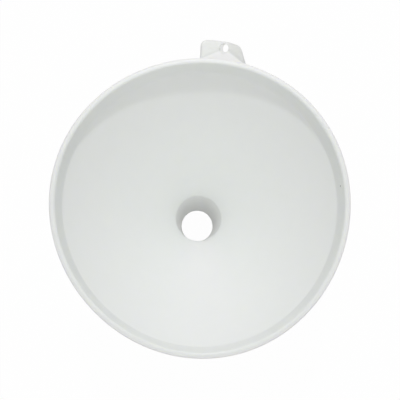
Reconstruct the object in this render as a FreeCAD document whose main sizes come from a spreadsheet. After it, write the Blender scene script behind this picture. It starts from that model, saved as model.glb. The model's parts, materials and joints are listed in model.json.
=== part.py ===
import FreeCAD, Part
import Sketcher
import math
import os

# A white plastic funnel, moulded in one piece: a rounded lip, a short collar, a wide cone and a
# tapered stem, with a hanging lug on the rim. Lengths are in millimetres.
# The origin is the centre of the stem's tip, +Z runs up the axis to the mouth, and the lug points along +Y.

# Driving dimensions
SIZES = {
    "rim_diameter": 150.0,  # over the lip
    "height": 148.0,  # from the stem's tip to the top of the lip
    "lip_width": 2.9,  # across the lip, from the mouth to its outer face
    "lip_depth": 4.8,  # how far the lip's band reaches down the collar
    "lip_round": 1.1,  # round on both top edges of the lip
    "collar_depth": 12.4,  # from the top of the lip to the start of the cone
    "collar_draft": 1.8,  # how far the collar leans in, from the mouth down to the cone
    "collar_round": 3.0,  # inside corner between collar and cone
    "wall": 1.8,  # collar and cone
    "throat_bore": 27.2,  # across the inside, where the cone meets the stem
    "throat_round": 1.6,  # edge between cone and stem, inside
    "shoulder_round": 2.0,  # corner between cone and stem, outside
    "stem_length": 62.0,
    "stem_wall": 1.6,
    "tip_bore": 21.0,  # across the inside of the stem's square-cut tip
    "tip_round": 0.3,  # both edges of the tip
    "lug_drop": 3.6,  # from the top of the lip down to the lug's plate
    "lug_thickness": 2.0,
    "lug_length": 9.3,  # from the lip's outer face to the lug's outer edge
    "lug_half_width": 12.8,  # from the lug's centre line to its straight side's outer end
    "lug_slope_foot": 11.3,  # from the centre line to the slanted side, at the rim
    "lug_slope_end": 7.4,  # from the centre line to the slanted side, at the outer edge
    "lug_corner": 3.3,  # round of the plate's outer corner on its straight side
    "lug_slanted_corner": 1.8,  # the same on its slanted side
    "lug_edge": 0.5,  # round of the plate's upper and lower edges
    "web_half_width": 11.4,  # from the centre line to the web's foot, inside the lip
    "web_sink": 0.3,  # from the top of the lug's plate down to the web's foot
    "web_drop": 0.35,  # from the top of the lip down to the web's crown, inside the lip
    "web_length": 4.2,  # from the lip's outer face to the web's outer end, in the hole
    "web_tip_half_width": 3.2,  # at the web's outer end
    "web_tip_rise": 0.15,  # height over the plate at the web's outer end
    "hole_bore": 3.0,  # hanging hole through the lug
    "hole_offset": 6.4,  # from the lip's outer face to the hole's centre
}

# How far a cutting profile or the lug's root runs on past a face, so that no faces coincide
OVERRUN = 5.0
# Two places closer than this are the same place
SAME = 1e-6


class Length:
    """A length, with the sheet expression it comes from, so that each formula is written once."""

    def __init__(self, value, text):
        self.value = value
        self.text = text

    def joined(self, sign, other, value):
        return Length(value, f"({self.text} {sign} {other.text})")

    def __add__(self, other):
        return self.joined("+", other, self.value + other.value)

    def __sub__(self, other):
        return self.joined("-", other, self.value - other.value)

    def half(self):
        return Length(self.value / 2, f"({self.text} / 2)")


def size(name):
    return Length(SIZES[name], f"Sizes.{name}")


# Heights and radii that several features share
MARGIN = Length(OVERRUN, str(OVERRUN))
RIM_RADIUS = size("rim_diameter").half()
MOUTH_RADIUS = RIM_RADIUS - size("lip_width")
COLLAR_RADIUS = MOUTH_RADIUS - size("collar_draft")
COLLAR_BASE = size("height") - size("collar_depth")
PLATE_TOP = size("height") - size("lug_drop")


def make_sheet(doc):
    sheet = doc.addObject("Spreadsheet::Sheet", "Sizes")
    for row, (name, value) in enumerate(SIZES.items(), 1):
        sheet.set(f"A{row}", name)
        sheet.set(f"B{row}", str(value))
        sheet.setAlias(f"B{row}", name)
    doc.recompute()


def add_sketch(body, name, plane, offset=None, sign=1):
    """A sketch on one of the body's origin planes, moved along the plane's normal by a Length."""
    sketch = body.newObject("Sketcher::SketchObject", name)
    origin_plane = next(f for f in body.Origin.OriginFeatures if f.Role == plane)
    sketch.AttachmentSupport = [(origin_plane, "")]
    sketch.MapMode = "FlatFace"
    if offset is not None:
        sketch.setExpression(".AttachmentOffset.Base.z", f"{sign} * {offset.text}")
    return sketch


def draw_line(sketch, start, end, construction=False):
    line = Part.LineSegment(FreeCAD.Vector(*start, 0), FreeCAD.Vector(*end, 0))
    return sketch.addGeometry(line, construction)


def draw_outline(sketch, points):
    """A closed loop of straight lines through the points. Returns the lines' numbers."""
    lines = [draw_line(sketch, a, b) for a, b in zip(points, points[1:] + points[:1])]
    for line, following in zip(lines, lines[1:] + lines[:1]):
        sketch.addConstraint(Sketcher.Constraint("Coincident", line, 2, following, 1))
    return lines


def bind(sketch, constraint, length):
    """Add a dimension and tie it to the sheet."""
    number = sketch.addConstraint(constraint)
    sketch.setExpression(f"Constraints[{number}]", length.text)


def place_x(sketch, line, end, length):
    bind(sketch, Sketcher.Constraint("DistanceX", -1, 1, line, end, length.value), length)


def place_y(sketch, line, end, length):
    bind(sketch, Sketcher.Constraint("DistanceY", -1, 1, line, end, length.value), length)


def place(sketch, line, end, x, y):
    place_x(sketch, line, end, x)
    place_y(sketch, line, end, y)


def spin(body, kind, name, sketch):
    """A revolved feature, once round the Z axis."""
    feature = body.newObject(f"PartDesign::{kind}", name)
    feature.Profile = sketch
    feature.ReferenceAxis = (sketch, ["V_Axis"])
    feature.Angle = 360
    body.Document.recompute()
    return feature


def round_edges(body, name, edges, radius):
    """Round edges of the body's last feature by a size of the sheet."""
    fillet = body.newObject("PartDesign::Fillet", name)
    fillet.Base = (body.Document.getObject(edges[0]), edges[1])
    fillet.setExpression("Radius", radius.text)
    body.Document.recompute()
    return fillet


def pick_edges(feature, keep):
    """The names of a feature's edges that pass a test."""
    names = [f"Edge{n}" for n, edge in enumerate(feature.Shape.Edges, 1) if keep(edge)]
    return feature.Name, names


def pick_ring(feature, radius, height):
    """The ring round the Z axis that lies nearest to a radius and a height."""
    rings = []
    for number, edge in enumerate(feature.Shape.Edges, 1):
        if isinstance(edge.Curve, Part.Circle) and math.hypot(*edge.Curve.Center[:2]) < SAME:
            away = math.hypot(edge.Curve.Radius - radius, edge.Curve.Center.z - height)
            rings.append((away, f"Edge{number}"))
    return feature.Name, [min(rings)[1]]


def inner_wall(sketch, construction):
    """The inside of the funnel in section: collar, cone and stem, from the mouth down to the tip."""
    mouth = (MOUTH_RADIUS.value, SIZES["height"])
    base = (COLLAR_RADIUS.value, COLLAR_BASE.value)
    throat = (SIZES["throat_bore"] / 2, SIZES["stem_length"])
    tip = (SIZES["tip_bore"] / 2, 0)
    collar = draw_line(sketch, mouth, base, construction)
    cone = draw_line(sketch, base, throat, construction)
    stem = draw_line(sketch, throat, tip, construction)
    sketch.addConstraint(Sketcher.Constraint("Coincident", collar, 2, cone, 1))
    sketch.addConstraint(Sketcher.Constraint("Coincident", cone, 2, stem, 1))
    place(sketch, collar, 1, MOUTH_RADIUS, size("height"))
    place(sketch, cone, 1, COLLAR_RADIUS, COLLAR_BASE)
    place(sketch, stem, 1, size("throat_bore").half(), size("stem_length"))
    place_x(sketch, stem, 2, size("tip_bore").half())
    sketch.addConstraint(Sketcher.Constraint("PointOnObject", stem, 2, -1))
    return collar, cone, stem


def offset_wall(sketch, inner, outer, wall):
    """Hold an outer line parallel to an inner one, a wall's thickness away."""
    sketch.addConstraint(Sketcher.Constraint("Parallel", inner, outer))
    bind(sketch, Sketcher.Constraint("Distance", inner, 1, outer, wall.value), wall)


def make_outer_form(body):
    """The funnel's outside as one full solid, which is hollowed later."""
    sketch = add_sketch(body, "OuterSection", "XZ_Plane")
    wall, stem_wall = SIZES["wall"], SIZES["stem_wall"]
    band_foot = size("height") - size("lip_depth")
    collar_outside = COLLAR_RADIUS.value + wall
    points = [
        (0, 0),
        (SIZES["tip_bore"] / 2 + stem_wall, 0),
        (SIZES["throat_bore"] / 2 + stem_wall, SIZES["stem_length"] - wall / 2),
        (collar_outside, COLLAR_BASE.value - wall / 2),
        (MOUTH_RADIUS.value + wall, band_foot.value),
        (RIM_RADIUS.value, band_foot.value),
        (RIM_RADIUS.value, SIZES["height"]),
        (0, SIZES["height"]),
    ]
    tip, stem, cone, collar, band_base, band, top, axis = draw_outline(sketch, points)
    inner_collar, inner_cone, inner_stem = inner_wall(sketch, construction=True)
    sketch.addConstraint(Sketcher.Constraint("Coincident", tip, 1, -1, 1))
    for level in (tip, band_base, top):
        sketch.addConstraint(Sketcher.Constraint("Horizontal", level))
    for upright in (band, axis):
        sketch.addConstraint(Sketcher.Constraint("Vertical", upright))
    offset_wall(sketch, inner_stem, stem, size("stem_wall"))
    offset_wall(sketch, inner_cone, cone, size("wall"))
    offset_wall(sketch, inner_collar, collar, size("wall"))
    place(sketch, band, 1, RIM_RADIUS, band_foot)
    place_y(sketch, top, 1, size("height"))
    form = spin(body, "Revolution", "OuterForm", sketch)

    shoulder = pick_ring(form, SIZES["throat_bore"] / 2 + stem_wall, SIZES["stem_length"])
    form = round_edges(body, "Shoulder", shoulder, size("shoulder_round"))
    corner = pick_ring(form, collar_outside, COLLAR_BASE.value)
    form = round_edges(body, "CollarOutside", corner, size("collar_round") + size("wall"))
    lip = pick_ring(form, RIM_RADIUS.value, SIZES["height"])
    return round_edges(body, "LipOutside", lip, size("lip_round"))


def make_lug_plate(body):
    """The lug's flat plate: one side lies on a radius, the other slants in to the outer edge."""
    sketch = add_sketch(body, "LugOutline", "XY_Plane", PLATE_TOP)
    root = MOUTH_RADIUS - MARGIN
    reach = RIM_RADIUS + size("lug_length")
    straight_x, slanted_x = SIZES["lug_half_width"], SIZES["lug_slope_end"]
    straight_end = (-straight_x, math.sqrt(reach.value**2 - straight_x**2))
    slanted_end = (slanted_x, math.sqrt(reach.value**2 - slanted_x**2))
    straight_root = (-straight_x * root.value / straight_end[1], root.value)
    slanted_root = (SIZES["lug_slope_foot"] + OVERRUN / 2, root.value)

    straight = draw_line(sketch, straight_root, straight_end)
    slanted = draw_line(sketch, slanted_end, slanted_root)
    base = draw_line(sketch, slanted_root, straight_root)
    circle = Part.Circle(FreeCAD.Vector(0, 0, 0), FreeCAD.Vector(0, 0, 1), reach.value)
    from_angle = math.atan2(slanted_end[1], slanted_end[0])
    to_angle = math.atan2(straight_end[1], straight_end[0])
    edge = sketch.addGeometry(Part.ArcOfCircle(circle, from_angle, to_angle), False)
    foot_place = FreeCAD.Vector(SIZES["lug_slope_foot"], RIM_RADIUS.value, 0)
    foot = sketch.addGeometry(Part.Point(foot_place), True)

    for first, first_end, second, second_end in (
        (straight, 2, edge, 2),
        (edge, 1, slanted, 1),
        (slanted, 2, base, 1),
        (base, 2, straight, 1),
        (edge, 3, -1, 1),
    ):
        sketch.addConstraint(
            Sketcher.Constraint("Coincident", first, first_end, second, second_end)
        )
    sketch.addConstraint(Sketcher.Constraint("Horizontal", base))
    sketch.addConstraint(Sketcher.Constraint("PointOnObject", -1, 1, straight))
    sketch.addConstraint(Sketcher.Constraint("PointOnObject", foot, 1, slanted))
    bind(sketch, Sketcher.Constraint("Radius", edge, reach.value), reach)
    half = size("lug_half_width")
    bind(sketch, Sketcher.Constraint("DistanceX", straight, 2, -1, 1, half.value), half)
    place_x(sketch, slanted, 1, size("lug_slope_end"))
    place(sketch, foot, 1, size("lug_slope_foot"), RIM_RADIUS)
    place_y(sketch, base, 1, root)

    plate = body.newObject("PartDesign::Pad", "LugPlate")
    plate.Profile = sketch
    plate.Reversed = True
    plate.setExpression("Length", "Sizes.lug_thickness")
    body.Document.recompute()

    def outside(edge):
        away = math.hypot(edge.CenterOfMass.x, edge.CenterOfMass.y)
        return away > RIM_RADIUS.value + SIZES["lug_edge"]

    def upright(edge):
        return outside(edge) and abs(edge.BoundBox.ZLength - edge.Length) < SAME

    def on_straight_side(edge):
        return upright(edge) and edge.CenterOfMass.x < 0

    def on_slanted_side(edge):
        return upright(edge) and edge.CenterOfMass.x > 0

    def level(edge):
        return outside(edge) and edge.BoundBox.ZLength < SAME

    corner = pick_edges(plate, on_straight_side)
    plate = round_edges(body, "StraightCorner", corner, size("lug_corner"))
    corner = pick_edges(plate, on_slanted_side)
    plate = round_edges(body, "SlantedCorner", corner, size("lug_slanted_corner"))
    return round_edges(body, "LugEdges", pick_edges(plate, level), size("lug_edge"))


def draw_arch(sketch, half_width, foot, crown):
    """A low arch in section, of a given half width at its foot, with a flat base."""
    left = FreeCAD.Vector(-half_width.value, foot.value, 0)
    right = FreeCAD.Vector(half_width.value, foot.value, 0)
    top = FreeCAD.Vector(0, crown.value, 0)
    arch = sketch.addGeometry(Part.Arc(right, top, left), False)
    base = draw_line(sketch, (left.x, left.y), (right.x, right.y))
    peak = sketch.addGeometry(Part.Point(top), True)
    sketch.addConstraint(Sketcher.Constraint("Coincident", arch, 2, base, 1))
    sketch.addConstraint(Sketcher.Constraint("Coincident", arch, 1, base, 2))
    sketch.addConstraint(Sketcher.Constraint("Symmetric", base, 1, base, 2, -2))
    sketch.addConstraint(Sketcher.Constraint("PointOnObject", peak, 1, arch))
    sketch.addConstraint(Sketcher.Constraint("PointOnObject", peak, 1, -2))
    place(sketch, base, 2, half_width, foot)
    place_y(sketch, peak, 1, crown)


def make_lug_web(body):
    """The web that stiffens the lug: an arched wedge that falls from the lip to the hanging hole."""
    foot = PLATE_TOP - size("web_sink")
    start = RIM_RADIUS - size("lip_width").half()
    wide = add_sketch(body, "WebAtLip", "XZ_Plane", start, -1)
    draw_arch(wide, size("web_half_width"), foot, size("height") - size("web_drop"))
    narrow = add_sketch(body, "WebAtHole", "XZ_Plane", RIM_RADIUS + size("web_length"), -1)
    draw_arch(narrow, size("web_tip_half_width"), foot, PLATE_TOP + size("web_tip_rise"))
    web = body.newObject("PartDesign::AdditiveLoft", "LugWeb")
    web.Profile = wide
    web.Sections = [narrow]
    web.Ruled = True
    body.Document.recompute()
    return web


def make_hanging_hole(body):
    """A round hole through the lug, on its centre line."""
    sketch = add_sketch(body, "HoleCircle", "XY_Plane", PLATE_TOP)
    bore, reach = size("hole_bore").half(), RIM_RADIUS + size("hole_offset")
    circle = Part.Circle(FreeCAD.Vector(0, reach.value, 0), FreeCAD.Vector(0, 0, 1), bore.value)
    number = sketch.addGeometry(circle, False)
    sketch.addConstraint(Sketcher.Constraint("PointOnObject", number, 3, -2))
    place_y(sketch, number, 3, reach)
    bind(sketch, Sketcher.Constraint("Radius", number, bore.value), bore)
    hole = body.newObject("PartDesign::Pocket", "HangingHole")
    hole.Profile = sketch
    hole.Type = "ThroughAll"
    hole.Midplane = True
    body.Document.recompute()
    return hole


def make_hollow(body):
    """Clear the inside: the mouth, the cone and the way down the stem, open at both ends."""
    sketch = add_sketch(body, "InnerSection", "XZ_Plane")
    collar, cone, stem = inner_wall(sketch, construction=False)
    above = size("height") + MARGIN
    rise = draw_line(sketch, (MOUTH_RADIUS.value, above.value), (MOUTH_RADIUS.value, SIZES["height"]))
    lid = draw_line(sketch, (0, above.value), (MOUTH_RADIUS.value, above.value))
    axis = draw_line(sketch, (0, -OVERRUN), (0, above.value))
    floor = draw_line(sketch, (SIZES["tip_bore"] / 2, -OVERRUN), (0, -OVERRUN))
    outlet = draw_line(sketch, (SIZES["tip_bore"] / 2, 0), (SIZES["tip_bore"] / 2, -OVERRUN))
    chain = [collar, cone, stem, outlet, floor, axis, lid, rise]
    for line, following in zip(chain[2:], chain[3:] + chain[:1]):
        sketch.addConstraint(Sketcher.Constraint("Coincident", line, 2, following, 1))
    for upright in (rise, axis, outlet):
        sketch.addConstraint(Sketcher.Constraint("Vertical", upright))
    for level in (lid, floor):
        sketch.addConstraint(Sketcher.Constraint("Horizontal", level))
    sketch.addConstraint(Sketcher.Constraint("PointOnObject", axis, 1, -2))
    place_y(sketch, lid, 1, above)
    bind(sketch, Sketcher.Constraint("DistanceY", axis, 1, -1, 1, OVERRUN), MARGIN)
    before = body.Shape.Volume
    hollow = spin(body, "Groove", "Hollow", sketch)
    if not hollow.Shape.Volume < before / 2:
        raise RuntimeError("the hollow cuts too little")

    corner = pick_ring(hollow, COLLAR_RADIUS.value, COLLAR_BASE.value)
    hollow = round_edges(body, "CollarInside", corner, size("collar_round"))
    throat = pick_ring(hollow, SIZES["throat_bore"] / 2, SIZES["stem_length"])
    hollow = round_edges(body, "Throat", throat, size("throat_round"))
    lip = pick_ring(hollow, MOUTH_RADIUS.value, SIZES["height"])
    hollow = round_edges(body, "LipInside", lip, size("lip_round"))
    bore = pick_ring(hollow, SIZES["tip_bore"] / 2, 0)
    hollow = round_edges(body, "TipInside", bore, size("tip_round"))
    rim = pick_ring(hollow, SIZES["tip_bore"] / 2 + SIZES["stem_wall"], 0)
    return round_edges(body, "TipOutside", rim, size("tip_round"))


def make_funnel(doc):
    body = doc.addObject("PartDesign::Body", "Funnel")
    body.Label = "funnel"
    body.Placement = FreeCAD.Placement(FreeCAD.Vector(0, 0, 0), FreeCAD.Rotation())
    doc.recompute()
    make_outer_form(body)
    make_lug_plate(body)
    make_lug_web(body)
    make_hanging_hole(body)
    body.Tip = make_hollow(body)
    return body


def check_document(doc):
    """Stop if any object of the document failed to compute."""
    for item in doc.Objects:
        if {"Invalid", "Error"} & set(item.State):
            raise RuntimeError(f"{item.Name} failed: {item.State}")


def write_part(part):
    """Check a finished sub-part and write it under its label."""
    shape = part.Shape
    if shape.isNull() or not shape.isValid() or len(shape.Solids) != 1:
        raise RuntimeError(f"{part.Label} isn't one valid solid")
    shape.exportStep(os.path.join("parts", f"{part.Label}.step"))
    box = shape.BoundBox
    print(part.Label, f"volume {shape.Volume / 1000:.2f} cm3")
    print("box", [round(v, 3) for v in (box.XMin, box.YMin, box.ZMin, box.XMax, box.YMax, box.ZMax)])


def main():
    doc = FreeCAD.newDocument("PlasticFunnel")
    make_sheet(doc)
    funnel = make_funnel(doc)
    doc.recompute()
    check_document(doc)
    os.makedirs("parts", exist_ok=True)
    write_part(funnel)


main()
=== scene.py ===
"""Looks of a white funnel that is moulded in one piece, with a hanging lug on its rim.

The whole funnel is built again as one fine mesh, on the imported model's own frame and sizes. It is
spun from a section with every round in it, and the lug grows out of the lip through soft blends.
The camera looks down into the mouth, as in the photograph.
"""

from __future__ import annotations

import json
import logging
import math
from dataclasses import dataclass, field
from enum import Enum

import bmesh
import bpy
import numpy as np
from mathutils import Matrix, Vector

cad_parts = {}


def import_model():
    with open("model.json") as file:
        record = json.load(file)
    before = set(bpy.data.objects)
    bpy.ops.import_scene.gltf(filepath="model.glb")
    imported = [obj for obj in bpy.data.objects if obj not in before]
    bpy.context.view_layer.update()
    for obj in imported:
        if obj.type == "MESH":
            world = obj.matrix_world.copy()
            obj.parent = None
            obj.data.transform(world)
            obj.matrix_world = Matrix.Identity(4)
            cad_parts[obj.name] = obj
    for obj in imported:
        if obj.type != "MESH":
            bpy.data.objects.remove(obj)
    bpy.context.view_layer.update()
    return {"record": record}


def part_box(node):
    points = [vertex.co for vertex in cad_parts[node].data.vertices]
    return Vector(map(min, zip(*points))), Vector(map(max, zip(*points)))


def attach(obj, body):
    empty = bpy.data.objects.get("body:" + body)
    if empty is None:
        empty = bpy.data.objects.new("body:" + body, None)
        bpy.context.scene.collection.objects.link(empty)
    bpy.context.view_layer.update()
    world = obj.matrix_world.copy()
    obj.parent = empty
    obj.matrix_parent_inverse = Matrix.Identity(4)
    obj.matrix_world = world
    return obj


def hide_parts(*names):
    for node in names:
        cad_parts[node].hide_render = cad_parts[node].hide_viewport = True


MM = 0.001
# The photograph's frame, in pixels
FRAME_PX = 400
# The mesh attribute for painted shade and painted light on the plastic. It rises to 1 for painted
# shade, which stands for light lost through a free wall of little thickness, as on the lug's plate, and
# more faintly on the lip's crown opposite the lug. It falls to -1 for painted light, as on the web, on
# the hole's wall and on the lip's outer round, and for a painted highlight in the fan beside the stem.
PAINTED_LIGHT_AND_SHADE = "painted_light_and_shade"
# Points closer than this are welded, and edges shorter than this go
WELD = 0.002 * MM
SLIVER = 0.001 * MM
SHARP_ANGLE = math.radians(50)
LOG = logging.getLogger("funnel")


class Side(Enum):
    """The two sides of the lug, seen from above with the lug pointing away."""

    STRAIGHT = -1
    SLANTED = 1


def linear(hex_colour: str) -> tuple[float, float, float, float]:
    """Turn an sRGB colour into the linear one that shaders work in.

    Args:
        hex_colour: The colour as #RRGGBB.

    Returns:
        Red, green, blue and an alpha of 1.
    """
    channels = []
    for start in (1, 3, 5):
        value = int(hex_colour[start : start + 2], 16) / 255
        channels.append(value / 12.92 if value <= 0.04045 else ((value + 0.055) / 1.055) ** 2.4)
    return (*channels, 1.0)


def add_node(
    tree: bpy.types.NodeTree,
    kind: str,
    settings: dict[str, object] | None = None,
    inputs: dict[str | int, object] | None = None,
) -> bpy.types.Node:
    """Add one node with its settings, and its sockets' values or links.

    Args:
        tree: The node tree to add to.
        kind: The node's type, such as ShaderNodeMix.
        settings: Values of the node's own properties.
        inputs: For each input, by name or number, a value or the output socket to link from.

    Returns:
        The new node.
    """
    node = tree.nodes.new(kind)
    for name, value in (settings or {}).items():
        setattr(node, name, value)
    for key, value in (inputs or {}).items():
        if isinstance(value, bpy.types.NodeSocket):
            tree.links.new(value, node.inputs[key])
        else:
            node.inputs[key].default_value = value
    return node


def new_material(name: str) -> tuple[bpy.types.Material, bpy.types.NodeTree]:
    """Make a material with an empty node tree.

    Args:
        name: The material's name.

    Returns:
        The material and its node tree.
    """
    material = bpy.data.materials.new(name)
    material.use_nodes = True
    material.node_tree.nodes.clear()
    return material, material.node_tree


def add_object(name: str, data: bpy.types.ID) -> bpy.types.Object:
    """Make an object and put it in the scene.

    Args:
        name: The object's name.
        data: Its mesh, lamp or camera.

    Returns:
        The new object.
    """
    piece = bpy.data.objects.new(name, data)
    bpy.context.scene.collection.objects.link(piece)
    return piece


@dataclass(frozen=True)
class MouldedPolyethylene:
    """White high-density polyethylene, injection moulded against a finely blasted steel mould.

    To the eye it is a clean, faintly green white with a satin sheen. The wall is a little
    translucent, so shadows on it stay pale and slender edges glow. Painted shade on the lug's plate
    and the lip's crown, and painted light on the web, the hole's wall, the lip's outer round and a fan
    by the stem, are mixed into its colour.
    """

    colour: str = "#F4F7F5"
    flow_colour: str = "#F2F5F2"
    painted_shade_colour: str = "#DEDFDE"  # painted shade, for light lost through a free wall of little thickness
    painted_light_colour: str = "#FCFEFC"  # painted light and painted highlight, on the web, the hole's wall, the lip's outer round and the fan by the stem
    ior: float = 1.54
    roughness: float = 0.42
    roughness_swing: float = 0.08
    bore_roughness: float = 0.32  # the stem, which a polished core pin moulds
    bore_end: float = 60.0 * MM  # height at which the core pin's polish ends
    bore_fade: float = 6.0 * MM
    translucence: float = 1.0
    scatter_depth: float = 3.0 * MM
    scatter_reach: tuple[float, float, float] = (1.0, 1.0, 0.9)  # blue light gets a little less far
    grain: float = 0.5 * MM  # the mould's blasted grain is about 0.05 mm, drawn coarser to show
    grain_height: float = 0.006 * MM
    grain_detail: float = 2.0
    flow_width: float = 9.0 * MM  # spacing of the faint, cloudy flow marks
    flow_detail: float = 3.0
    flow_contrast: float = 0.6  # how strong their finer detail is
    speck_colour: str = "#9A9A98"  # one speck of dirt in the collar
    speck_place: tuple[float, float, float] = (67.75, 20.20, 142.5)  # mm in the row frame
    speck_radius: float = 0.6 * MM

    def build(self) -> bpy.types.Material:
        """Make the material.

        Returns:
            The material, ready to go on a mesh whose object space is the row frame.
        """
        material, tree = new_material("moulded_white_hdpe")
        place = add_node(tree, "ShaderNodeTexCoord").outputs["Object"]
        flow = add_node(
            tree,
            "ShaderNodeTexNoise",
            inputs={
                "Vector": place,
                "Scale": 1 / self.flow_width,
                "Detail": self.flow_detail,
                "Roughness": self.flow_contrast,
            },
        ).outputs["Fac"]
        surface = add_node(
            tree,
            "ShaderNodeBsdfPrincipled",
            inputs={
                "Base Color": self.tone(tree, place, flow),
                "Roughness": self.shine(tree, place, flow),
                "IOR": self.ior,
                "Normal": self.grain_relief(tree, place),
                "Subsurface Weight": self.translucence,
                "Subsurface Scale": self.scatter_depth,
                "Subsurface Radius": self.scatter_reach,
            },
        )
        add_node(
            tree, "ShaderNodeOutputMaterial", inputs={"Surface": surface.outputs["BSDF"]}
        )
        return material

    def tone(
        self, tree: bpy.types.NodeTree, place: bpy.types.NodeSocket, flow: bpy.types.NodeSocket
    ) -> bpy.types.NodeSocket:
        """Mix the colour: flow marks, then painted shade and painted light, then the speck.

        Args:
            tree: The node tree to add to.
            place: The place in the row frame.
            flow: The cloudy flow marks.

        Returns:
            The colour's socket.
        """
        mixed = add_node(
            tree,
            "ShaderNodeMix",
            {"data_type": "RGBA"},
            {"Factor": flow, "A": linear(self.colour), "B": linear(self.flow_colour)},
        )
        # The attribute paints shade above 0, and light, highlights included, below 0
        light_and_shade_paint = add_node(tree, "ShaderNodeAttribute", {"attribute_name": PAINTED_LIGHT_AND_SHADE}).outputs["Fac"]
        painted_light_share = add_node(
            tree, "ShaderNodeMath", {"operation": "MULTIPLY"}, {0: light_and_shade_paint, 1: -1.0}
        ).outputs["Value"]
        away = add_node(
            tree,
            "ShaderNodeVectorMath",
            {"operation": "DISTANCE"},
            {0: place, 1: Vector(self.speck_place) * MM},
        ).outputs["Value"]
        speck = add_node(
            tree,
            "ShaderNodeMapRange",
            inputs={"Value": away, "From Min": self.speck_radius, "From Max": self.speck_radius / 2},
        ).outputs["Result"]
        for share, other in (
            (light_and_shade_paint, self.painted_shade_colour),
            (painted_light_share, self.painted_light_colour),
            (speck, self.speck_colour),
        ):
            mixed = add_node(
                tree,
                "ShaderNodeMix",
                {"data_type": "RGBA"},
                {"Factor": share, "A": mixed.outputs[2], "B": linear(other)},
            )
        return mixed.outputs[2]

    def shine(
        self, tree: bpy.types.NodeTree, place: bpy.types.NodeSocket, flow: bpy.types.NodeSocket
    ) -> bpy.types.NodeSocket:
        """Work out the roughness: satin from the blasted mould, and smoother in the stem.

        Args:
            tree: The node tree to add to.
            place: The place in the row frame.
            flow: The cloudy flow marks.

        Returns:
            The roughness's socket.
        """
        blasted = add_node(
            tree,
            "ShaderNodeMapRange",
            inputs={
                "Value": flow,
                "To Min": self.roughness - self.roughness_swing / 2,
                "To Max": self.roughness + self.roughness_swing / 2,
            },
        ).outputs["Result"]
        height = add_node(tree, "ShaderNodeSeparateXYZ", inputs={"Vector": place}).outputs["Z"]
        return add_node(
            tree,
            "ShaderNodeMapRange",
            inputs={
                "Value": height,
                "From Min": self.bore_end,
                "From Max": self.bore_end + self.bore_fade,
                "To Min": self.bore_roughness,
                "To Max": blasted,
            },
        ).outputs["Result"]

    def grain_relief(
        self, tree: bpy.types.NodeTree, place: bpy.types.NodeSocket
    ) -> bpy.types.NodeSocket:
        """Raise the mould's fine grain.

        Args:
            tree: The node tree to add to.
            place: The place in the row frame.

        Returns:
            The socket of the surface's way.
        """
        grain = add_node(
            tree,
            "ShaderNodeTexNoise",
            inputs={"Vector": place, "Scale": 1 / self.grain, "Detail": self.grain_detail},
        ).outputs["Fac"]
        return add_node(
            tree,
            "ShaderNodeBump",
            inputs={"Height": grain, "Distance": self.grain_height, "Strength": 1.0},
        ).outputs["Normal"]


@dataclass(frozen=True)
class PaleTable:
    """A matt white table top. It looks white to the camera and keeps a faint shadow."""

    colour: str = "#F0F0EE"
    roughness: float = 0.9
    glow: float = 0.98  # share of plain white in what the camera sees

    def build(self) -> bpy.types.Material:
        """Make the material.

        Returns:
            The table's material.
        """
        material, tree = new_material("pale_table")
        plain = add_node(
            tree,
            "ShaderNodeBsdfPrincipled",
            inputs={"Base Color": linear(self.colour), "Roughness": self.roughness},
        )
        white = add_node(
            tree, "ShaderNodeEmission", inputs={"Color": linear("#FFFFFF"), "Strength": 1.0}
        )
        seen = seen_by_camera(tree, self.glow)
        mixed = add_node(
            tree,
            "ShaderNodeMixShader",
            inputs={0: seen, 1: plain.outputs["BSDF"], 2: white.outputs["Emission"]},
        )
        add_node(
            tree, "ShaderNodeOutputMaterial", inputs={"Surface": mixed.outputs["Shader"]}
        )
        return material


def seen_by_camera(tree: bpy.types.NodeTree, share: float) -> bpy.types.NodeSocket:
    """Find whether a ray shows the background: from the camera, a reflection or a clear view.

    Args:
        tree: The node tree to add to.
        share: What to return for such a ray.

    Returns:
        A socket that is share for such a ray and 0 for one that only carries light.
    """
    path = add_node(tree, "ShaderNodeLightPath")
    any_ray = path.outputs["Is Camera Ray"]
    for name in ("Is Glossy Ray", "Is Transmission Ray"):
        any_ray = add_node(
            tree,
            "ShaderNodeMath",
            {"operation": "MAXIMUM"},
            {0: any_ray, 1: path.outputs[name]},
        ).outputs["Value"]
    return add_node(
        tree, "ShaderNodeMath", {"operation": "MULTIPLY"}, {0: any_ray, 1: share}
    ).outputs["Value"]


def meeting_point(
    first: np.ndarray, first_way: np.ndarray, second: np.ndarray, second_way: np.ndarray
) -> np.ndarray:
    """Find where two lines in a plane cross.

    Args:
        first: A point on the first line.
        first_way: The first line's direction.
        second: A point on the second line.
        second_way: The second line's direction.

    Returns:
        The crossing.
    """
    steps = np.linalg.solve(np.column_stack([first_way, -second_way]), second - first)
    return first + steps[0] * first_way


def unit(vector: np.ndarray) -> np.ndarray:
    """Scale a vector to length 1."""
    return vector / np.linalg.norm(vector)


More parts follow.
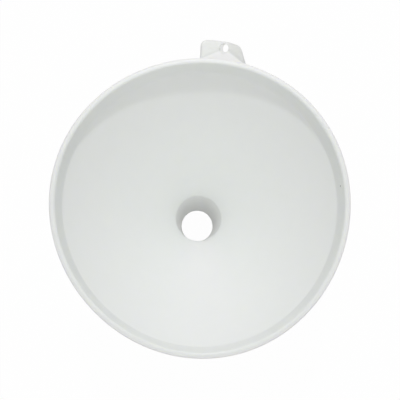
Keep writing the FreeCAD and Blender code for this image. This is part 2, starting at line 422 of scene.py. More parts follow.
def rounded_path(
    corners: list[tuple[float, float]], rounds: list[float], spacing: float, arc_step: float
) -> np.ndarray:
    """Follow straight runs between corners, each of which is rounded by an arc.

    Args:
        corners: The corners in order, the two ends included.
        rounds: The radius at each corner, 0 at the ends.
        spacing: The most that two points on a run may be apart.
        arc_step: The turn from one point of an arc to the next, in degrees.

    Returns:
        The path's points, one row each.
    """
    points = [np.array(corners[0], float)]
    for before, corner, after, radius in zip(corners, corners[1:], corners[2:], rounds[1:-1]):
        corner = np.array(corner, float)
        way_in = unit(corner - np.array(before, float))
        way_out = unit(np.array(after, float) - corner)
        turn = math.acos(float(np.clip(way_in @ way_out, -1, 1)))
        reach = radius * math.tan(turn / 2)
        start, end = corner - reach * way_in, corner + reach * way_out
        points += straight_run(points[-1], start, spacing)
        middle = start + radius * unit(way_out - (way_in @ way_out) * way_in)
        count = max(1, math.ceil(math.degrees(turn) / arc_step))
        for step in range(1, count):
            share = turn * step / count
            out = (start - middle) * math.cos(share) + radius * way_in * math.sin(share)
            points.append(middle + out)
        points.append(end)
    points += straight_run(points[-1], np.array(corners[-1], float), spacing)
    return np.array(points)


def straight_run(start: np.ndarray, end: np.ndarray, spacing: float) -> list[np.ndarray]:
    """Divide a straight run evenly. The start is left out and the end is in."""
    count = max(1, math.ceil(np.linalg.norm(end - start) / spacing))
    return [start + (end - start) * step / count for step in range(1, count + 1)]


def spread_evenly(points: np.ndarray, count: int) -> np.ndarray:
    """Place points at even distances along a path.

    Args:
        points: The path's own points, one row each.
        count: How many points to place, the path's ends included.

    Returns:
        The placed points, one row each.
    """
    lengths = np.concatenate([[0], np.cumsum(np.linalg.norm(np.diff(points, axis=0), axis=1))])
    wanted = np.linspace(0, lengths[-1], count)
    return np.column_stack([np.interp(wanted, lengths, points[:, k]) for k in range(2)])


def smooth_union(first: np.ndarray, second: np.ndarray, blend: float) -> np.ndarray:
    """Join two solids, given by their distances, with a fillet of about the given size."""
    share = np.clip(0.5 + 0.5 * (second - first) / blend, 0, 1)
    return second + (first - second) * share - blend * share * (1 - share)


def rounded_overlap(first: np.ndarray, second: np.ndarray, radius: float) -> np.ndarray:
    """Keep what two solids share, given by their distances, with the new edge rounded."""
    over = np.hypot(np.maximum(first + radius, 0), np.maximum(second + radius, 0))
    return np.minimum(-radius, np.maximum(first, second)) + over


def fade(value: np.ndarray, start: float, width: float) -> np.ndarray:
    """Rise evenly from 0 where a value is at the start to 1 where it is the width further on."""
    return np.clip((value - start) / width, 0, 1)


def off_axis(points: np.ndarray) -> np.ndarray:
    """Measure how far points in the row frame are from the funnel's axis."""
    return np.hypot(points[..., 0], points[..., 1])


def turn_of(points: np.ndarray) -> np.ndarray:
    """Measure the points' turn round the axis in radians, clockwise from the lug as seen from above."""
    return np.arctan2(points[..., 0], points[..., 1])


@dataclass
class FunnelBody:
    """The funnel's section: lip, collar, cone and stem. Lengths are in millimetres."""

    rim_radius: float
    height: float
    lip_width: float = 2.9
    lip_depth: float = 4.8
    lip_round: float = 1.1
    lip_foot_round: float = 0.25
    collar_depth: float = 12.4
    collar_draft: float = 1.8
    collar_round: float = 3.0
    wall: float = 1.8
    throat_radius: float = 13.6
    throat_round: float = 1.6
    shoulder_round: float = 2.0
    stem_length: float = 62.0
    stem_wall: float = 1.6
    tip_radius: float = 10.5
    tip_round: float = 0.3
    spacing: float = 2.4
    arc_step: float = 12.0

    def inner_corners(self) -> list[tuple[float, float]]:
        """List the inside's corners.

        Returns:
            Points of radius and height, from the tip up to the mouth.
        """
        mouth = self.rim_radius - self.lip_width
        return [
            (self.tip_radius, 0.0),
            (self.throat_radius, self.stem_length),
            (mouth - self.collar_draft, self.height - self.collar_depth),
            (mouth, self.height),
        ]

    def outer_corners(self) -> list[tuple[float, float]]:
        """Offset the inside's corners by the wall's thickness.

        Returns:
            The outside's corners of radius and height, from the lip's foot down to the tip.
        """
        tip, throat, base, mouth = (np.array(corner) for corner in self.inner_corners())
        walls = ((tip, throat, self.stem_wall), (throat, base, self.wall), (base, mouth, self.wall))
        lines = []
        for start, end, wall in walls:
            way = unit(end - start)
            lines.append((start + wall * np.array([way[1], -way[0]]), way))
        foot = self.height - self.lip_depth
        level = np.array([1.0, 0.0])
        return [
            tuple(meeting_point(*lines[2], np.array([0.0, foot]), level)),
            tuple(meeting_point(*lines[2], *lines[1])),
            tuple(meeting_point(*lines[1], *lines[0])),
            tuple(meeting_point(*lines[0], np.zeros(2), level)),
        ]

    def collar_outside(self, height: np.ndarray | float) -> np.ndarray | float:
        """The collar's outer radius at a height."""
        top, base = self.outer_corners()[:2]
        return top[0] + (base[0] - top[0]) * (top[1] - height) / (top[1] - base[1])

    def inside_path(self, crown_end: float) -> np.ndarray:
        """The section from the middle of the tip's face, up the inside, to the lip's crown.

        Args:
            crown_end: The radius at which the path stops on the crown.

        Returns:
            Points of radius and height.
        """
        inner = self.inner_corners()
        outer_tip = self.outer_corners()[-1]
        start = ((inner[0][0] + outer_tip[0]) / 2, 0.0)
        corners = [start, *inner, (crown_end, self.height)]
        rounds = [0, self.tip_round, self.throat_round, self.collar_round, self.lip_round, 0]
        return rounded_path(corners, rounds, self.spacing, self.arc_step)

    def outside_path(self, start_height: float) -> np.ndarray:
        """The section from the collar's outside, down the cone and stem, to the tip's face.

        Args:
            start_height: The height on the collar at which the path starts.

        Returns:
            Points of radius and height. The last one meets the first of inside_path.
        """
        outer = self.outer_corners()
        end = ((self.tip_radius + outer[-1][0]) / 2, 0.0)
        corners = [(self.collar_outside(start_height), start_height), *outer[1:], end]
        rounds = [0, self.collar_round + self.wall, self.shoulder_round, self.tip_round, 0]
        return rounded_path(corners, rounds, self.spacing, self.arc_step)

    def distance(self, radius: np.ndarray, height: np.ndarray) -> np.ndarray:
        """Measure how far points lie outside the lip and collar.

        Args:
            radius: The points' distances from the axis.
            height: The points' heights.

        Returns:
            A distance for each point, negative inside.
        """
        half_width, half_depth = self.lip_width / 2, self.lip_depth / 2
        across = radius - (self.rim_radius - half_width)
        up = height - (self.height - half_depth)
        edge = np.where(up > 0, self.lip_round, self.lip_foot_round)
        past = np.hypot(
            np.maximum(np.abs(across) - half_width + edge, 0),
            np.maximum(np.abs(up) - half_depth + edge, 0),
        )
        within = np.minimum(np.maximum(np.abs(across) - half_width, np.abs(up) - half_depth), -edge)
        lip = past + np.where(past > 0, -edge, within)
        collar = radius - self.collar_outside(height)
        collar = np.maximum(collar, height - (self.height - half_depth))
        return smooth_union(lip, collar, 2 * self.lip_foot_round)


@dataclass(frozen=True)
class HoleLevel:
    """One level of the hanging hole, in millimetres."""

    height: float  # over the plate's lower face
    wider: float  # half its width, less the hole's stated radius
    longer: float  # half its length away from the rim, less the same
    aside: float  # of its centre, towards the slanted side
    outwards: float  # of its centre, away from the rim


@dataclass
class HangingLug:
    """The lug: a flat plate with a hole, and a web that falls from the lip to the hole.

    Lengths are in millimetres. The lug points along +Y.
    """

    body: FunnelBody
    reach: float
    hole_y: float
    hole_radius: float
    drop: float = 3.6
    thickness: float = 2.0
    half_width: float = 12.8
    slope_foot: float = 11.3
    slope_end: float = 7.4
    corner: float = 3.3
    slanted_corner: float = 1.8
    end_break: tuple[float, float] = (1.3, 84.3)  # where the outer edge starts to fall away
    end_fall: float = 9.3  # degrees that it falls from there
    edge: float = 0.5
    web_half_width: float = 13.5
    web_sink: float = 0.3
    web_drop: float = 0.35
    web_length: float = 4.2
    web_tip_half_width: float = 3.2
    web_tip_rise: float = 0.15
    web_lean: float = 0.8  # turns height over the web's slope into distance from it
    web_blend: float = 1.4
    root_blend: float = 0.4
    column_step: float = 0.34
    hole_sides: int = 72
    hole_levels: tuple[HoleLevel, ...] = (
        HoleLevel(-3.0, 0.05, 0.65, 0.4, 0.0),
        HoleLevel(0.15, 0.05, 0.65, 0.4, 0.0),
        HoleLevel(0.4, -0.1, 0.55, 0.4, -0.05),
        HoleLevel(2.0, 0.85, 1.1, -0.55, -0.75),
        HoleLevel(3.0, 0.9, 1.25, -0.6, -0.9),
        HoleLevel(6.0, 0.9, 1.25, -0.6, -0.9),
    )
    settle_step: float = 0.01  # to each side of a point, for the slope of the distance there
    least_slope: float = 0.25  # squared, so that no step of a point gets too long
    # Shares of painted shade and painted light, against the full amount on the slanted half of the
    # plate and on the web
    straight_half_painted_shade: float = 0.64
    crown_painted_shade: float = 0.35  # painted shade on the lip's crown opposite the lug
    edge_painted_light: float = 0.8  # painted light on the lip's outer round, for light that reaches it from all sides
    # Where these painted tones start, and the width over which they come in
    plate_fade: tuple[float, float] = (0.2, 0.8)  # out from the rim
    slant_fade: tuple[float, float] = (-1.0, 2.5)  # across the lug, from its centre line
    web_fade: tuple[float, float] = (-0.2, 0.6)  # up from the plate
    crown_fade: tuple[float, float] = (10.0, 5.0)  # along the lip, from the centre line
    web_past: float = 0.8  # how far past its end the web still gets painted light
    root_fade: float = 0.6  # out from the lug's root
    lip_fade: float = 0.5  # in from the lip's inner face and up from its foot
    hole_mouth: float = 0.1  # from the plate's face down to the hole's wall
    hole_slack: float = 1.02  # how much wider than the hole its wall may be taken

    @property
    def top(self) -> float:
        """The height of the plate's upper face."""
        return self.body.height - self.drop

    @property
    def root(self) -> float:
        """The radius on the lip's crown from which the lug's columns start."""
        return self.body.rim_radius - self.body.lip_round

    def side_line(self, side: Side) -> tuple[np.ndarray, np.ndarray]:
        """A side of the plate in plan.

        Args:
            side: The straight or the slanted side.

        Returns:
            Its ends at the lug's root and at the outer edge's radius.
        """
        if side is Side.STRAIGHT:
            end = np.array([-self.half_width, math.sqrt(self.reach**2 - self.half_width**2)])
            return end * self.root / self.reach, end
        end = np.array([self.slope_end, math.sqrt(self.reach**2 - self.slope_end**2)])
        foot = np.array([self.slope_foot, self.body.rim_radius])
        way = unit(end - foot)
        across = way @ foot
        back = math.sqrt(across**2 - (foot @ foot - self.root**2))
        return foot + (back - across) * way, end

    def beyond_side(self, side: Side, x: np.ndarray, y: np.ndarray) -> np.ndarray:
        """Measure how far points lie beyond a side of the plate, in plan.

        Args:
            side: The straight or the slanted side.
            x: The points' places across the lug.
            y: The points' places along it.

        Returns:
            A distance for each point, negative on the plate's side of the line.
        """
        start, end = self.side_line(side)
        way = unit(end - start)
        return side.value * ((x - start[0]) * way[1] - (y - start[1]) * way[0])

    def web_height(self, x: np.ndarray, y: np.ndarray) -> np.ndarray:
        """Work out how high the web's arched back is.

        Args:
            x: Places across the lug.
            y: Places along it.

        Returns:
            The height in the row frame at each place.
        """
        start = self.body.rim_radius - self.body.lip_width / 2
        share = (y - start) / (self.body.rim_radius + self.web_length - start)
        half = self.web_half_width + (self.web_tip_half_width - self.web_half_width) * share
        high, low = self.body.height - self.web_drop, self.top + self.web_tip_rise
        foot = self.top - self.web_sink
        crown = high + (low - high) * share
        return foot + (crown - foot) * (1 - (x / np.maximum(half, self.web_tip_half_width)) ** 2)

    def distance(self, points: np.ndarray) -> np.ndarray:
        """Measure how far points lie outside the lip, lug and web together.

        Args:
            points: Points in the row frame, in millimetres.

        Returns:
            A distance for each point, negative inside.
        """
        x, y, z = points[..., 0], points[..., 1], points[..., 2]
        radius = off_axis(points)
        fall = math.radians(self.end_fall)
        break_x, break_y = self.end_break
        past_end = (x - break_x) * math.sin(fall) + (y - break_y) * math.cos(fall)
        past_straight = self.beyond_side(Side.STRAIGHT, x, y)
        past_slanted = self.beyond_side(Side.SLANTED, x, y)
        plan = rounded_overlap(radius - self.reach, past_straight, self.corner)
        plan = np.maximum(plan, past_end)
        plan = rounded_overlap(plan, past_slanted, self.slanted_corner)
        plan = np.maximum(plan, self.root - self.body.wall - y)
        slab = np.abs(z - (self.top - self.thickness / 2)) - self.thickness / 2
        plate = rounded_overlap(plan, slab, self.edge)
        web = (z - self.web_height(x, y)) * self.web_lean
        web = np.maximum(web, y - (self.body.rim_radius + self.web_length))
        web = np.maximum(web, plan)
        web = np.maximum(web, self.top - self.thickness / 2 - z)
        lug = smooth_union(plate, web, self.web_blend)
        return smooth_union(self.body.distance(radius, z), lug, self.root_blend)

    def paint_light_and_shade(self, points: np.ndarray) -> np.ndarray:
        """Tell where shade is painted, up to 1 on the lug's plate, and where light is painted, down to
        -1.

        The slanted half of the plate gets more painted shade than the straight half.

        Args:
            points: Points in the row frame, in millimetres.

        Returns:
            One value for each point.
        """
        x, y = points[..., 0], points[..., 1]
        radius, rim = off_axis(points), self.body.rim_radius
        beyond = fade(radius, rim + self.plate_fade[0], self.plate_fade[1])
        near_web = y < rim + self.web_length + self.web_past
        over = np.where(near_web, self.web_height(x, y) - self.top, -1.0)
        web = fade(over, *self.web_fade)
        slanted = fade(x, *self.slant_fade)
        plate = self.straight_half_painted_shade + (1 - self.straight_half_painted_shade) * slanted
        root = fade(radius, self.root, self.root_fade) * (1 - fade(np.abs(x), *self.crown_fade))
        hole = self.in_hole(points)
        lip = self.lip_light_and_shade(points)
        # Painted shade on the plate, painted light on the web, its root and the hole's wall, and the
        # lip's painted light and shade
        lug = beyond * (1 - web) * plate - root * np.where(y > 0, web, 0)
        return np.where(y > 0, (1 - hole) * lug - hole + lip * (1 - beyond), lip)

    def lip_light_and_shade(self, points: np.ndarray) -> np.ndarray:
        """Tell how much shade is painted on the lip's crown, most opposite the lug, and how much light
        on its outer round.

        Args:
            points: Points in the row frame, in millimetres.

        Returns:
            One value for each point, and 0 below and inside the lip.
        """
        body = self.body
        radius = off_axis(points)
        on_lip = fade(radius, body.rim_radius - body.lip_width, self.lip_fade)
        on_lip *= fade(points[..., 2], body.height - body.lip_depth, self.lip_fade)
        edge = fade(radius, self.root, body.lip_round / 2)
        # Painted shade on the crown grows away from the lug's side; painted light lies on the outer
        # round
        crown = self.crown_painted_shade * (1 - points[..., 1] / np.maximum(radius, 1.0)) / 2
        return on_lip * (crown * (1 - edge) - self.edge_painted_light * edge)

    def in_hole(self, points: np.ndarray) -> np.ndarray:
        """Tell which points lie on the hole's wall.

        Args:
            points: Points in the row frame, in millimetres.

        Returns:
            1 on the wall and its lower edge, and 0 elsewhere.
        """
        heights = [level.height + self.top - self.thickness for level in self.hole_levels]
        wide, long, aside, outwards = (
            np.interp(points[..., 2], heights, [getattr(level, name) for level in self.hole_levels])
            for name in ("wider", "longer", "aside", "outwards")
        )
        across = (points[..., 0] - aside) / (self.hole_radius + wide)
        along = (points[..., 1] - self.hole_y - outwards) / (self.hole_radius + long)
        low = points[..., 2] < self.top - self.hole_mouth
        return np.where(low & (np.hypot(across, along) < self.hole_slack), 1.0, 0.0)

    def settle(self, points: np.ndarray, rounds: int = 10) -> np.ndarray:
        """Move points the shortest way onto the blended surface.

        Args:
            points: Points near the surface.
            rounds: How many times each point takes a step.

        Returns:
            The moved points.
        """
        step = self.settle_step
        for _ in range(rounds):
            away = self.distance(points)
            slope = np.stack(
                [
                    (self.distance(points + step * axis) - self.distance(points - step * axis))
                    / (2 * step)
                    for axis in np.eye(3)
                ],
                axis=-1,
            )
            size = np.maximum((slope**2).sum(axis=-1), self.least_slope)
            points = points - (away / size)[..., None] * slope
        points[..., 2] = np.minimum(points[..., 2], self.body.height)
        return points


@dataclass
class LipRows:
    """How many rows of points each stretch of the lip's and the lug's outside has."""

    round: int = 7
    face: int = 6
    top: int = 26
    end: int = 5
    under: int = 18
    collar: int = 3

    @property
    def plate(self) -> int:
        """Rows on the plate, which a plain column packs into the foot of the lip."""
        return self.top + self.end + self.under


@dataclass
class FunnelMoulding:
    """The whole funnel as one mesh: columns of points round the axis, rows along the section."""

    body: FunnelBody
    lug: HangingLug
    rows: LipRows = field(default_factory=LipRows)
    plain_step: float = 1.5  # degrees between the columns away from the lug
    near_step: float = 0.4
    near_reach: float = 3.0  # degrees beside the lug in which the columns stay close
    # Where columns stand close together, in mm: in from the plate's sides, in from its faces on
    # each side, and beside the lug, the first a hair away so that the side face stays upright
    edge_steps: tuple[float, ...] = (0.0, 0.07, 0.17, 0.3, 0.45, 0.65, 0.9)
    side_insets: tuple[float, ...] = (0.75, 0.45, 0.2)
    beside_steps: tuple[float, ...] = (0.02, 0.3)
    collar_start: float = 1.0  # mm under the lug's plate where its rows end
    lobes: int = 3
    lobe_depth: float = 1.3  # mm that the lip is drawn in between the lobes
    lug_steady: float = 5.0  # mm beyond the rim from which the lug keeps its place
    lobe_turn: float = 41.0  # degrees from the lug to the first lobe
    fan_turn: float = 167.0  # degrees clockwise from the lug to the painted highlight fan beside the stem
    fan_spread: float = 20.0  # degrees to each side
    fan_fade: float = 18.0  # mm out from the throat
    fan_foot: float = 1.0  # mm above and below the throat's edge over which it comes in

    def skirt_foot(self) -> float:
        """The height on the collar where the lip's rows end."""
        return self.lug.top - self.lug.thickness - self.collar_start

    def plain_skirt(self) -> np.ndarray:
        """Follow the lip's outside away from the lug.

        Returns:
            Points of radius and height, from the crown down to the collar.
        """
        body, rows = self.body, self.rows
        rim, band_foot = body.rim_radius, body.height - body.lip_depth
        angles = np.linspace(0, math.pi / 2, rows.round)
        arc_r = rim - body.lip_round * (1 - np.sin(angles))
        arc_z = body.height - body.lip_round * (1 - np.cos(angles))
        arc = np.column_stack([arc_r, arc_z])
        face = np.linspace((rim, body.height - body.lip_round), (rim, self.lug.top), rows.face + 1)
        under = self.lug.top - self.lug.thickness
        foot = np.array(
            [
                (rim, self.lug.top),
                (rim, band_foot),
                (body.collar_outside(band_foot), band_foot),
                (body.collar_outside(under), under),
            ]
        )
        packed = spread_evenly(foot, rows.plate + 1)
        return np.vstack([arc, face[1:], packed[1:], self.collar_rows()])

    def collar_rows(self) -> np.ndarray:
        """Lay out the last rows, down the collar under the lug.

        Returns:
            Points of radius and height.
        """
        heights = np.linspace(
            self.lug.top - self.lug.thickness, self.skirt_foot(), self.rows.collar + 1
        )[1:]
        return np.array([(self.body.collar_outside(h), h) for h in heights])

    def lug_skirt(self, start: np.ndarray, end: np.ndarray, inset: float) -> np.ndarray:
        """One column over the lug: lip, web and plate, round its edge and back underneath.

        Args:
            start: The column's place in plan on the lip's crown.
            end: The column's place in plan at the plate's outer edge.
            inset: How far the column is drawn in from the plate's faces, on its side.

        Returns:
            Points in the row frame.
        """
        body, lug, rows = self.body, self.lug, self.rows
        rim = body.rim_radius

        def place(radius: np.ndarray) -> np.ndarray:
            """Find places in plan along the column, from their distance off the axis."""
            share = (np.asarray(radius) - lug.root) / (lug.reach - lug.root)
            return start + share[..., None] * (end - start)

        def solid_top(radius: np.ndarray) -> np.ndarray:
            """Find the height of the web or of the plate.

            Args:
                radius: Distances off the axis along the column.

            Returns:
                The height at each of them.
            """
            plan = place(radius)
            web = lug.web_height(plan[..., 0], plan[..., 1])
            inside = np.asarray(radius) < rim + lug.web_length
            return np.where(inside, np.maximum(web, lug.top - inset), lug.top - inset)

        shoulder = float(solid_top(np.array(rim)))
        angles = np.linspace(0, math.pi / 2, rows.round)
        arc_r = rim - body.lip_round * (1 - np.sin(angles))
        arc_z = body.height - body.lip_round * (1 - np.cos(angles))
        face_z = np.linspace(arc_z[-1], min(shoulder, arc_z[-1]), rows.face + 1)[1:]
        edge_r = lug.reach - inset
        top_r = np.linspace(rim, edge_r, rows.top + 1)[1:]
        under = lug.top - lug.thickness + inset
        end_z = np.linspace(lug.top - inset, under, rows.end + 1)[1:]
        under_r = np.linspace(edge_r, body.collar_outside(under), rows.under + 1)[1:]
        collar = self.collar_rows()
        radii = np.concatenate(
            [arc_r, np.full(rows.face, rim), top_r, np.full(rows.end, edge_r), under_r, collar[:, 0]]
        )
        heights = np.concatenate(
            [arc_z, face_z, solid_top(top_r), end_z, np.full(rows.under, under), collar[:, 1]]
        )
        return np.column_stack([place(radii), heights])

    def columns(self) -> tuple[np.ndarray, np.ndarray]:
        """Lay out the columns round the axis.

        Returns:
            Each column's azimuth from the lug's centre line in radians, clockwise from above, and
            each column's points on the outside of the lip, all in the row frame.
        """
        lug = self.lug
        straight, slanted = lug.side_line(Side.STRAIGHT), lug.side_line(Side.SLANTED)
        first, last = (math.atan2(line[0][0], line[0][1]) for line in (straight, slanted))
        width = lug.root * (last - first)
        steps = np.array(self.edge_steps) / width
        inner = np.linspace(steps[-1], 1 - steps[-1], int(width / lug.column_step))
        shares = np.concatenate([steps[:-1], inner, 1 - steps[-2::-1]])
        outer_first, outer_last = (math.atan2(*line[1]) for line in (straight, slanted))
        azimuths, skirts = [], []

        def add_lug_column(share: float, inset: float) -> None:
            """Add one column of the lug.

            Args:
                share: Where it stands, from 0 on the straight side to 1 on the slanted side.
                inset: How far it is drawn in from the plate's faces.
            """
            start_az = first + share * (last - first)
            end_az = outer_first + share * (outer_last - outer_first)
            start = lug.root * np.array([math.sin(start_az), math.cos(start_az)])
            end = lug.reach * np.array([math.sin(end_az), math.cos(end_az)])
            azimuths.append(start_az)
            skirts.append(self.lug_skirt(start, end, inset))

        for inset in self.side_insets:
            add_lug_column(0.0, inset)
        for share in shares:
            add_lug_column(share, 0.0)
        for inset in reversed(self.side_insets):
            add_lug_column(1.0, inset)

        near = math.radians(self.near_reach)
        near_count = int(self.near_reach / self.near_step)
        rest = 2 * math.pi - (last - first) - 2 * near
        far_count = round(math.degrees(rest) / self.plain_step)
        close = np.array(self.beside_steps) / lug.root
        beside = np.concatenate([close, near * np.arange(1, near_count) / near_count])
        far = last + near + rest * np.arange(far_count + 1) / far_count
        plain = np.concatenate([last + beside, far, first + 2 * math.pi - beside[::-1]])
        skirt = self.plain_skirt()
        for azimuth in plain:
            way = np.array([math.sin(azimuth), math.cos(azimuth)])
            azimuths.append(float(azimuth))
            skirts.append(np.column_stack([skirt[:, :1] * way, skirt[:, 1:]]))
        return np.array(azimuths), np.array(skirts)

    def warp(self, points: np.ndarray) -> np.ndarray:
        """Pull the lip a little out of round, as a moulding with slender walls cools. It only moves
        inwards.

        Args:
            points: Points in the row frame, in millimetres.

        Returns:
            The moved points.
        """
        body = self.body
        wave = (1 - np.cos(self.lobes * (turn_of(points) - math.radians(self.lobe_turn)))) / 2
        rise = fade(points[..., 2], body.stem_length, body.height - body.stem_length)
        radius = off_axis(points)
        lug_part = fade(radius, body.rim_radius, self.lug_steady)
        scale = 1 - self.lobe_depth * wave * rise**2 * (1 - lug_part) / body.rim_radius
        moved = points.copy()
        moved[..., :2] *= scale[..., None]
        return moved

    def painted_highlight_fan(self, points: np.ndarray) -> np.ndarray:
        """Tell where a highlight is painted on the cone, in a soft fan that starts at the stem and
        fades outwards.

        Args:
            points: Points in the row frame, in millimetres.

        Returns:
            Up to 1 for each point.
        """
        turn = np.degrees(turn_of(points)) - self.fan_turn
        turn = (turn + 180) % 360 - 180
        out = off_axis(points) - self.body.throat_radius
        out = np.maximum(out, 0) / self.fan_fade
        foot = self.body.stem_length - self.fan_foot
        on_cone = fade(points[..., 2], foot, 2 * self.fan_foot)
        return on_cone * np.exp(-((turn / self.fan_spread) ** 2) - out)

    def grid(self) -> np.ndarray:
        """Lay out the moulding's points before the hole is cut.

        Returns:
            The points in the row frame, by column and row.
        """
        azimuths, skirts = self.columns()
        skirts = self.lug.settle(skirts)
        ways = np.column_stack([np.sin(azimuths), np.cos(azimuths)])
        inside = self.body.inside_path(self.lug.root)[:-1]
        outside = self.body.outside_path(self.skirt_foot())[1:-1]

        def spin(path: np.ndarray) -> np.ndarray:
            """Turn a section round the axis.

            Args:
                path: The section's points of radius and height.

            Returns:
                The points in the row frame, by column and row.
            """
            plan = path[None, :, :1] * ways[:, None, :]
            heights = np.broadcast_to(path[None, :, 1:], (*plan.shape[:2], 1))
            return np.concatenate([plan, heights], axis=-1)

        return np.concatenate([spin(inside), skirts, spin(outside)], axis=1)

    def build(self) -> bpy.types.Object:
        """Make the moulding's mesh.

        Returns:
            The funnel, smooth shaded, in the row frame in metres.
        """
        points = self.grid()
        columns, rows = points.shape[:2]
        mesh = bpy.data.meshes.new("funnel_moulding")
        corner = np.arange(columns * rows).reshape(columns, rows)
        right, up = np.roll(corner, -1, axis=0), np.roll(corner, -1, axis=1)
        far = np.roll(right, -1, axis=1)
        faces = np.stack([corner, up, far, right], axis=-1).reshape(-1, 4)
        mesh.from_pydata((points.reshape(-1, 3) * MM).tolist(), [], faces.tolist())
        piece = add_object("funnel_moulding", mesh)
        self.cut_hole(piece)
        tidy_mesh(piece.data)
        place = np.empty(len(piece.data.vertices) * 3)
        piece.data.vertices.foreach_get("co", place)
        place = place.reshape(-1, 3) / MM
        piece.data.vertices.foreach_set("co", (self.warp(place) * MM).ravel())
        # Store the painted shade and painted light, with the painted highlight fan by the stem
        light_and_shade_paint = piece.data.attributes.new(PAINTED_LIGHT_AND_SHADE, "FLOAT", "POINT")
        light_and_shade_paint.data.foreach_set("value", self.lug.paint_light_and_shade(place) - self.painted_highlight_fan(place))
        piece.data.update()
        return piece

    def cut_hole(self, piece: bpy.types.Object) -> None:
        """Cut the hanging hole with a spool that has its slanted, slightly oval form.

        Args:
            piece: The moulding, whose mesh is replaced.
        """
        spool = self.make_spool()
        cut = piece.modifiers.new("hanging_hole", "BOOLEAN")
        cut.operation = "DIFFERENCE"
        cut.solver = "EXACT"
        cut.object = spool
        bpy.context.view_layer.update()
        graph = bpy.context.evaluated_depsgraph_get()
        cut_mesh = bpy.data.meshes.new_from_object(piece.evaluated_get(graph))
        piece.modifiers.clear()
        piece.data = cut_mesh
        piece.data.name = "funnel_moulding"
        bpy.data.objects.remove(spool)

    def make_spool(self) -> bpy.types.Object:
        """Make the shape of the hole: a narrow foot, a slanted lead-in and an upright mouth.

        Returns:
            The spool, in the row frame in metres.
        """
        lug = self.lug
        under, sides = lug.top - lug.thickness, lug.hole_sides
        build = bmesh.new()
        rings = []
        for level in lug.hole_levels:
            ring = []
            for number in range(sides):
                turn = 2 * math.pi * number / sides
                place = (
                    level.aside + (lug.hole_radius + level.wider) * math.cos(turn),
                    lug.hole_y + level.outwards + (lug.hole_radius + level.longer) * math.sin(turn),
                    under + level.height,
                )
                ring.append(build.verts.new(Vector(place) * MM))
            rings.append(ring)
        for low, high in zip(rings, rings[1:]):
            for number in range(sides):
                after = (number + 1) % sides
                build.faces.new((low[number], low[after], high[after], high[number]))
        build.faces.new(reversed(rings[0]))
        build.faces.new(rings[-1])
        mesh = bpy.data.meshes.new("spool")
        build.to_mesh(mesh)
        build.free()
        return add_object("spool", mesh)


def tidy_mesh(mesh: bpy.types.Mesh) -> None:
    """Weld doubled points, drop faces without area, face all outwards and shade them smooth.

    Args:
        mesh: The mesh, which is changed.
    """
    build = bmesh.new()
    build.from_mesh(mesh)
    bmesh.ops.remove_doubles(build, verts=build.verts, dist=WELD)
    bmesh.ops.dissolve_degenerate(build, edges=build.edges, dist=SLIVER)
    bmesh.ops.recalc_face_normals(build, faces=build.faces)
    for face in build.faces:
        face.smooth = True
    build.to_mesh(mesh)
    build.free()
    mesh.set_sharp_from_angle(angle=SHARP_ANGLE)


@dataclass
class TopCamera:
    """The camera over the mouth, at the photograph's angle."""

    body: FunnelBody
    distance: float = 375.0  # mm from the plane of the rim
    focal_px: float = 767.5
    aside: float = 39.1  # mm that the camera stands to the side of the funnel's axis
    aside_turn: float = 190.2  # degrees clockwise from the frame's top to that side
    lug_turn: float = 8.8  # degrees clockwise from the frame's top to the lug
    rim_centre_px: tuple[float, float] = (201.0, 204.0)
    clip_start: float = 10.0  # mm before the camera where its view starts

    def build(self) -> None:
        """Make the camera and let the scene use it."""
        turn = math.radians(self.lug_turn)
        right = Vector((math.cos(turn), math.sin(turn), 0))
        up = Vector((-math.sin(turn), math.cos(turn), 0))
        side = math.radians(self.aside_turn)
        away = self.aside * (math.sin(side) * right + math.cos(side) * up)
        centre = Vector((0, 0, self.body.height))
        place = centre + away + Vector((0, 0, self.distance))

        forward = (centre - place).normalized()
        side_way = (right - right.dot(forward) * forward).normalized()
        facing = Matrix((side_way, side_way.cross(forward), -forward)).transposed().to_quaternion()
        half = FRAME_PX / 2
        aim = Vector((self.rim_centre_px[0] - half, half - self.rim_centre_px[1], -self.focal_px))
        correction = aim.rotation_difference(Vector((0, 0, -1)))

        data = bpy.data.cameras.new("camera")
        data.lens = self.focal_px / FRAME_PX * data.sensor_width
        data.clip_start = self.clip_start * MM
        camera = add_object("camera", data)
        camera.rotation_mode = "QUATERNION"
        camera.rotation_quaternion = facing @ correction
        camera.location = place * MM
        bpy.context.scene.camera = camera


@dataclass(frozen=True)
class TentPanel:
    """One bright side of the tent, which fades softly all round."""

    turn: float  # degrees clockwise from the frame's top
    height: float  # degrees over the horizon
    strength: float


@dataclass(frozen=True)
class SoftLamp:
    """A round soft box that points at the mouth."""

    name: str
    turn: float  # degrees clockwise from the frame's top
    height: float  # degrees over the rim's plane
    width: float  # metres
    power: float
    distance: float = 1.4  # metres


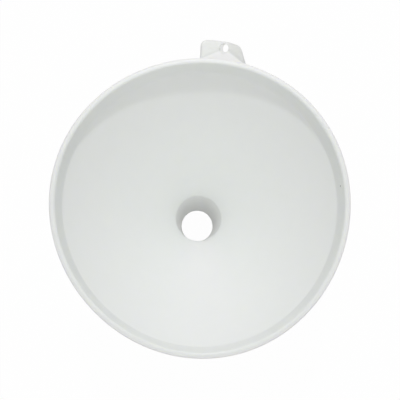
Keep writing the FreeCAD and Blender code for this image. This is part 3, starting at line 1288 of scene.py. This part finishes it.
@dataclass
class Studio:
    """A white tent of light, a lamp high up behind the lug and a pale table."""

    lug_turn: float  # degrees clockwise from the frame's top to the lug, as the camera has it
    panels: tuple[TentPanel, ...] = (
        TentPanel(0.0, 30.0, 0.86),
        TentPanel(90.0, 30.0, 0.24),
        TentPanel(180.0, 30.0, 0.76),
        TentPanel(270.0, 30.0, 0.21),
        TentPanel(0.0, 90.0, 0.40),
    )
    panel_focus: float = 3.0  # how fast a panel fades
    lamps: tuple[SoftLamp, ...] = (
        SoftLamp("key", -2.2, 65.0, 0.06, 5.0),
    )
    table_width: float = 6.0

    def build(self, target: Vector) -> None:
        """Set the scene up.

        Args:
            target: The place that the lamps point at, in metres.
        """
        self.make_world()
        for lamp in self.lamps:
            self.make_lamp(lamp, target)
        self.make_table()
        bpy.context.scene.view_settings.view_transform = "Standard"

    def way(self, turn: float, height: float) -> Vector:
        """Point from the funnel towards a light.

        Args:
            turn: Degrees clockwise from the frame's top.
            height: Degrees over the horizon.

        Returns:
            The direction in the row frame.
        """
        turn, height = math.radians(turn - self.lug_turn), math.radians(height)
        return Vector(
            (math.sin(turn) * math.cos(height), math.cos(turn) * math.cos(height), math.sin(height))
        )

    def make_world(self) -> None:
        """A white surround, which the camera sees as plain white."""
        world = bpy.data.worlds.new("tent")
        world.use_nodes = True
        tree = world.node_tree
        tree.nodes.clear()
        white = linear("#FFFFFF")
        place = add_node(tree, "ShaderNodeTexCoord").outputs["Generated"]
        level = 0.0
        for panel in self.panels:
            facing = add_node(
                tree,
                "ShaderNodeVectorMath",
                {"operation": "DOT_PRODUCT"},
                {0: place, 1: self.way(panel.turn, panel.height)},
            ).outputs["Value"]
            near = add_node(tree, "ShaderNodeMath", {"operation": "MAXIMUM"}, {0: facing, 1: 0.0})
            faded = add_node(
                tree,
                "ShaderNodeMath",
                {"operation": "POWER"},
                {0: near.outputs["Value"], 1: self.panel_focus},
            )
            level = add_node(
                tree,
                "ShaderNodeMath",
                {"operation": "MULTIPLY_ADD"},
                {0: faded.outputs["Value"], 1: panel.strength, 2: level},
            ).outputs["Value"]
        light = add_node(tree, "ShaderNodeBackground", inputs={"Color": white, "Strength": level})
        seen = add_node(tree, "ShaderNodeBackground", inputs={"Color": white, "Strength": 1.0})
        mixed = add_node(
            tree,
            "ShaderNodeMixShader",
            inputs={
                0: seen_by_camera(tree, 1.0),
                1: light.outputs["Background"],
                2: seen.outputs["Background"],
            },
        )
        add_node(tree, "ShaderNodeOutputWorld", inputs={"Surface": mixed.outputs["Shader"]})
        bpy.context.scene.world = world

    def make_lamp(self, lamp: SoftLamp, target: Vector) -> None:
        """Hang one lamp.

        Args:
            lamp: The lamp.
            target: The place that it points at, in metres.
        """
        way = self.way(lamp.turn, lamp.height)
        data = bpy.data.lights.new(lamp.name, "AREA")
        data.shape = "DISK"
        data.size = lamp.width
        data.energy = lamp.power
        piece = add_object(lamp.name, data)
        piece.location = target + lamp.distance * way
        piece.rotation_mode = "QUATERNION"
        piece.rotation_quaternion = way.to_track_quat("Z", "Y")

    def make_table(self) -> None:
        """The table that the stem's tip stands on."""
        half = self.table_width / 2
        mesh = bpy.data.meshes.new("table")
        corners = [(-half, -half, 0), (half, -half, 0), (half, half, 0), (-half, half, 0)]
        mesh.from_pydata(corners, [], [(0, 1, 2, 3)])
        mesh.materials.append(PaleTable().build())
        add_object("table", mesh)


def main() -> None:
    """Load the frame, build the funnel on it and light it."""
    logging.basicConfig(level=logging.INFO, format="%(name)s: %(message)s")
    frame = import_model()
    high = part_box("funnel")[1] / MM
    hole = next(m for m in frame["record"]["mounts"] if m["name"] == "hanging_hole")
    body = FunnelBody(rim_radius=round(high.x, 3), height=round(high.z, 3))
    lug = HangingLug(
        body=body,
        reach=high.y,
        hole_y=hole["pos_m"][1] / MM,
        hole_radius=hole["dims"]["r_mm"],
    )
    camera = TopCamera(body)
    camera.build()
    Studio(camera.lug_turn).build(Vector((0, 0, high.z)) * MM)
    piece = FunnelMoulding(body, lug).build()
    piece.data.materials.append(MouldedPolyethylene().build())
    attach(piece, "root")
    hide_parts("funnel")
    LOG.info("%s has %d faces", piece.name, len(piece.data.polygons))


if __name__ == "__main__":
    main()
